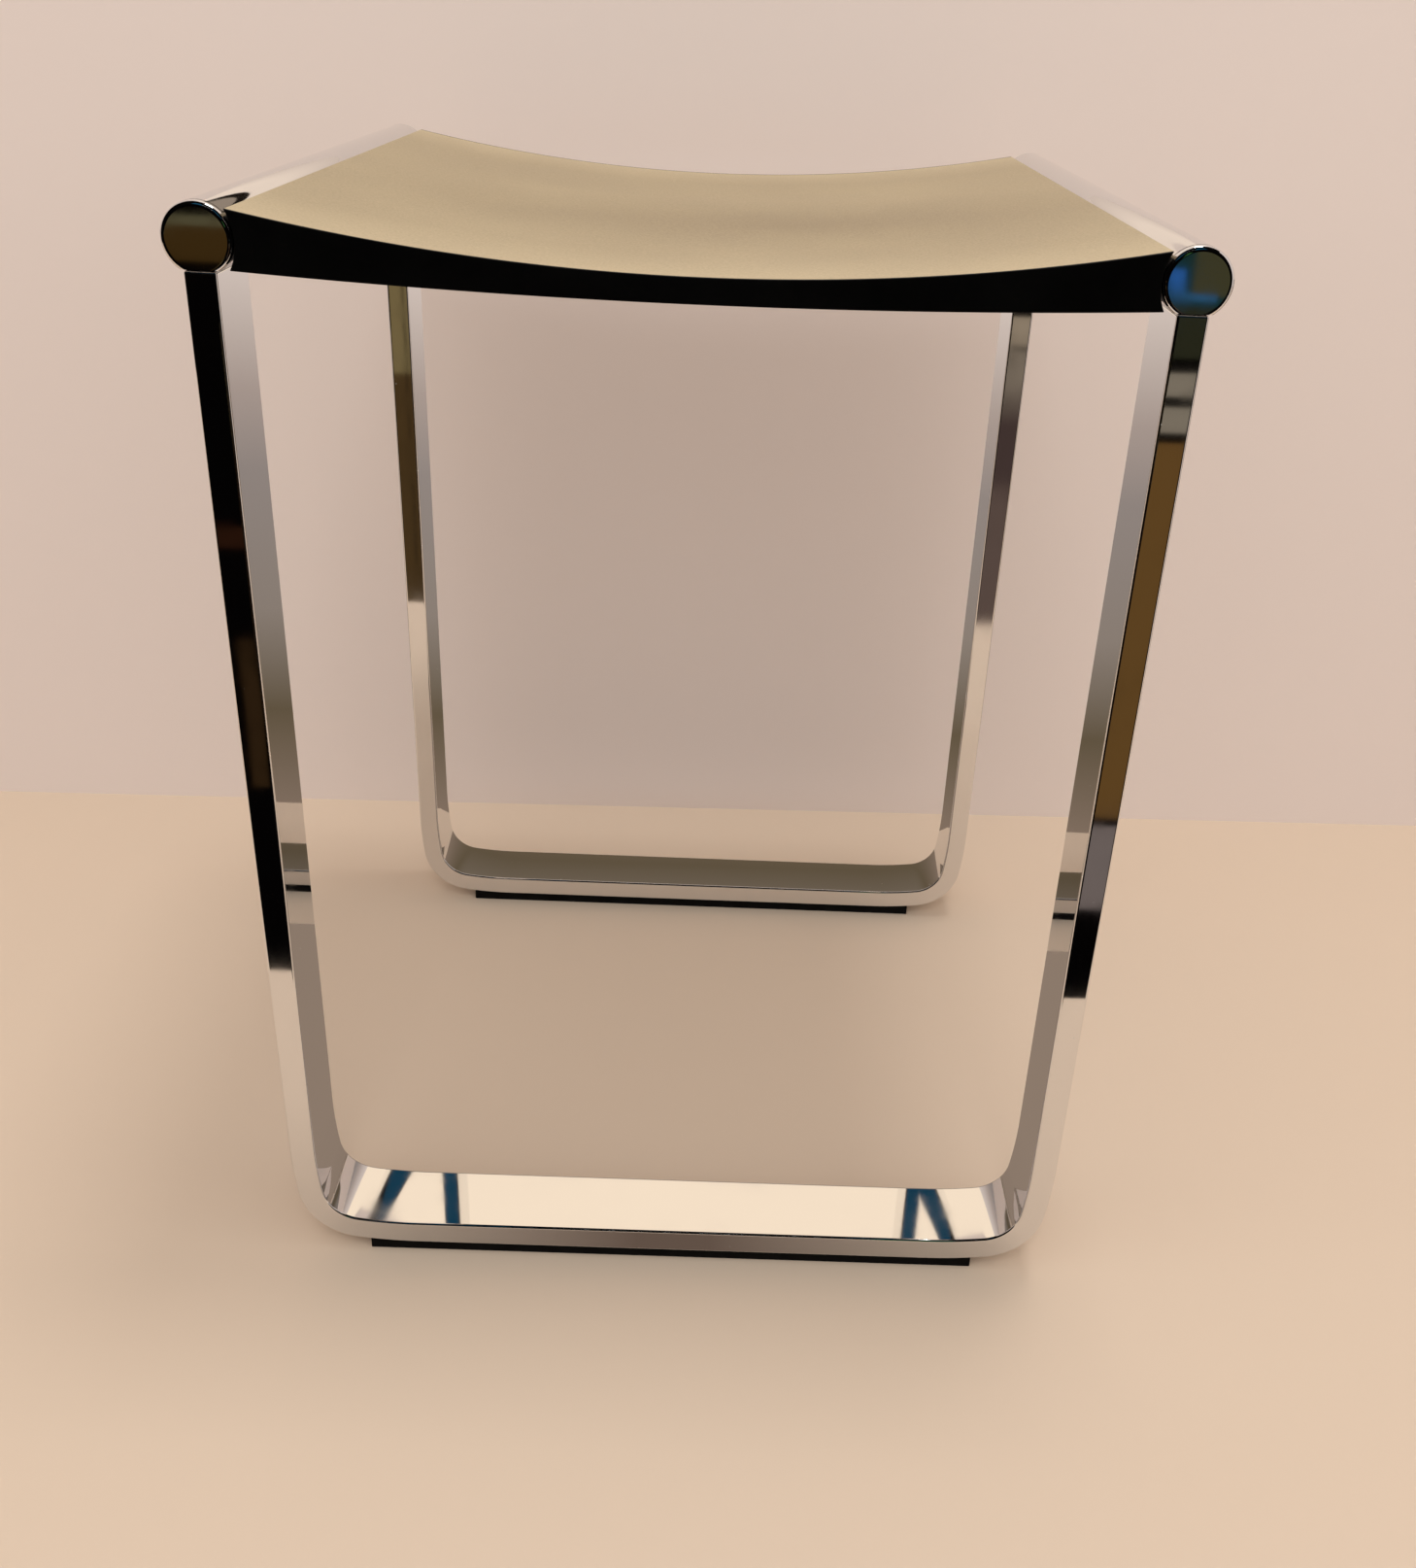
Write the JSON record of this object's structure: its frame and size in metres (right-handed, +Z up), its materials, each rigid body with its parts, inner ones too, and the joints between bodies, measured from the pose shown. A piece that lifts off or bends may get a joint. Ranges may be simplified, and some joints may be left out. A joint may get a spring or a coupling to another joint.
{
  "type": "bathroom stool",
  "caption": "Free-standing bathroom stool: a dished seat between round chromed rails, carried by U-shaped flat-bar leg frames on rubber glide strips.",
  "frame": {"origin": "on the floor, under the middle of the stool", "axes": "+Z up, -Y towards the front frame, +X to the right seen from the front, along the dish of the seat"},
  "size_m": [0.353, 0.34, 0.452],
  "materials": {
    "chrome": "mirror polished",
    "steel": "bright drawn",
    "seat_black": "satin moulded",
    "seat_khaki": "fine grain, satin",
    "glide_rubber": "matt"
  },
  "bodies": {
    "root": {"front_leg_frame": "chrome", "rear_leg_frame": "chrome", "left_seat_rail": "chrome", "right_seat_rail": "chrome", "front_left_rail_plug": "chrome", "front_right_rail_plug": "chrome", "rear_left_rail_plug": "chrome", "rear_right_rail_plug": "chrome", "front_left_outer_leg_dowel": "steel", "front_left_inner_leg_dowel": "steel", "front_right_outer_leg_dowel": "steel", "front_right_inner_leg_dowel": "steel", "rear_left_outer_leg_dowel": "steel", "rear_left_inner_leg_dowel": "steel", "rear_right_outer_leg_dowel": "steel", "rear_right_inner_leg_dowel": "steel", "front_left_seat_pin": "steel", "front_right_seat_pin": "steel", "rear_left_seat_pin": "steel", "rear_right_seat_pin": "steel", "seat_core_plate": "steel", "seat_body": "seat_black", "seat_inlay": "seat_khaki", "front_glide_strip": "glide_rubber", "rear_glide_strip": "glide_rubber"}
  },
  "joints": []
}
